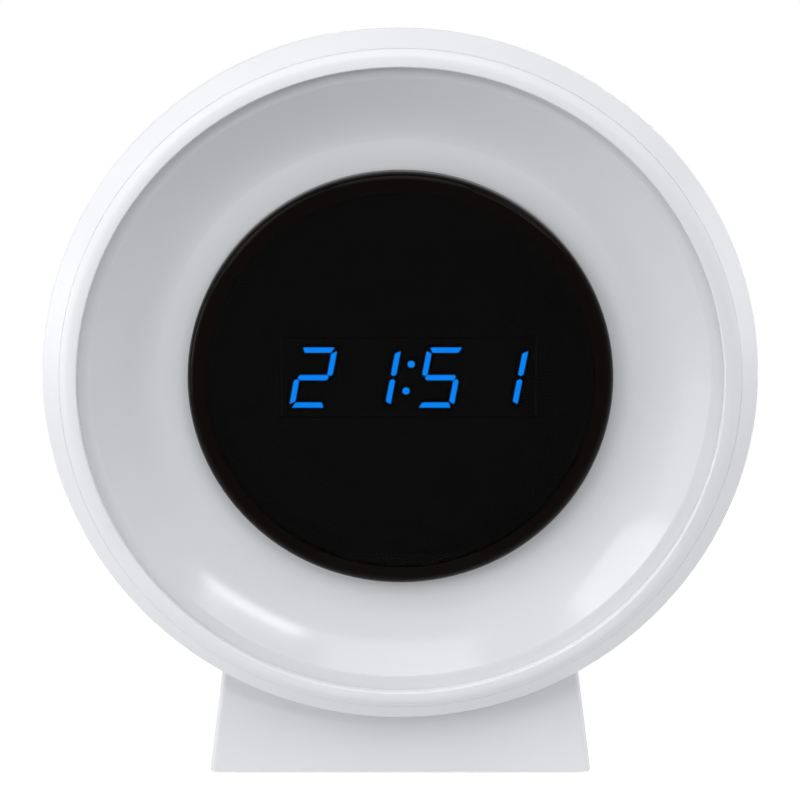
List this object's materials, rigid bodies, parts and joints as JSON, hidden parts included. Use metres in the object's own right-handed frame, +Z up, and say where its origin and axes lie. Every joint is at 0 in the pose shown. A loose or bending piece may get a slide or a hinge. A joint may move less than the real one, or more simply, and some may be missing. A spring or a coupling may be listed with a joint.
{
  "type": "night light clock",
  "caption": "Round night light clock with a dished glowing ring around a dark digital display, on a tapered stand, with buttons, a switch and a power inlet behind.",
  "frame": {"origin": "under the middle of the clock's box, on the surface that it stands on", "axes": "+X to the right seen from the front, +Y from the front to the back, +Z up"},
  "size_m": [0.113, 0.044, 0.1249],
  "materials": {
    "shell_white": "gloss",
    "diffuser_opal": "gloss",
    "lens_smoked": "gloss",
    "gasket_foam": "matte",
    "segment_lit": "gloss",
    "segment_dark": "gloss",
    "moulded_black": "matte",
    "board_green": "satin",
    "led_white": "gloss",
    "contact_metal": "satin",
    "capacitor_can": "satin",
    "screw_steel": "satin",
    "cell_steel": "satin",
    "button_white": "satin",
    "plunger_black": "matte",
    "knob_grey": "matte",
    "foot_rubber": "matte"
  },
  "bodies": {
    "clock": {"bezel_ring": "shell_white", "rear_housing": "shell_white", "light_diffuser": "diffuser_opal", "display_lens": "lens_smoked", "inlet_shell": "contact_metal", "stand_shell": "shell_white", "stand_base": "shell_white", "rubber_foot_1": "foot_rubber", "rubber_foot_2": "foot_rubber", "rubber_foot_3": "foot_rubber", "rubber_foot_4": "foot_rubber", "lens_gasket": "gasket_foam", "display_segments_lit": "segment_lit", "display_segments_dark": "segment_dark", "display_module": "moulded_black", "display_pins": "contact_metal", "display_shroud": "moulded_black", "main_board": "board_green", "ring_leds": "led_white", "microcontroller": "moulded_black", "clock_crystal": "contact_metal", "capacitor_1": "capacitor_can", "capacitor_2": "capacitor_can", "link_header": "moulded_black", "link_socket": "moulded_black", "link_pins": "contact_metal", "control_board": "board_green", "tact_switches": "moulded_black", "sounder": "moulded_black", "switch_case": "moulded_black", "inlet_tongue": "moulded_black", "coin_holder": "moulded_black", "backup_cell": "cell_steel", "under_contact": "contact_metal", "over_contact": "contact_metal", "housing_screw_1": "screw_steel", "housing_screw_2": "screw_steel", "housing_screw_3": "screw_steel", "housing_screw_4": "screw_steel", "board_screw_1": "screw_steel", "board_screw_2": "screw_steel", "board_screw_3": "screw_steel", "stand_screw_1": "screw_steel", "stand_screw_2": "screw_steel", "base_screw_1": "screw_steel", "base_screw_2": "screw_steel"},
    "alarm_key": {"alarm_button": "button_white", "alarm_plunger": "plunger_black"},
    "minus_key": {"minus_button": "button_white", "minus_plunger": "plunger_black"},
    "time_key": {"time_button": "button_white", "time_plunger": "plunger_black"},
    "plus_key": {"plus_button": "button_white", "plus_plunger": "plunger_black"},
    "light_key": {"light_button": "button_white", "light_plunger": "plunger_black"},
    "light_switch": {"switch_knob": "knob_grey", "switch_lever": "plunger_black"},
    "battery_lid": {"battery_door": "button_white"}
  },
  "joints": [
    {"name": "alarm_press", "type": "slide", "parent": "clock", "child": "alarm_key", "axis": [0, -1, 0], "range_m": [0, 0.0007], "stiffness_N_per_m": 300},
    {"name": "minus_press", "type": "slide", "parent": "clock", "child": "minus_key", "axis": [0, -1, 0], "range_m": [0, 0.0007], "stiffness_N_per_m": 300},
    {"name": "time_press", "type": "slide", "parent": "clock", "child": "time_key", "axis": [0, -1, 0], "range_m": [0, 0.0007], "stiffness_N_per_m": 300},
    {"name": "plus_press", "type": "slide", "parent": "clock", "child": "plus_key", "axis": [0, -1, 0], "range_m": [0, 0.0007], "stiffness_N_per_m": 300},
    {"name": "light_press", "type": "slide", "parent": "clock", "child": "light_key", "axis": [0, -1, 0], "range_m": [0, 0.0007], "stiffness_N_per_m": 300},
    {"name": "switch_slide", "type": "slide", "parent": "clock", "child": "light_switch", "axis": [1, 0, 0], "range_m": [0, 0.004]},
    {"name": "door_turn", "type": "hinge", "parent": "clock", "child": "battery_lid", "pos_m": [0, 0.018, 0.05308], "axis": [0, 1, 0], "range_deg": [0, 45]}
  ]
}
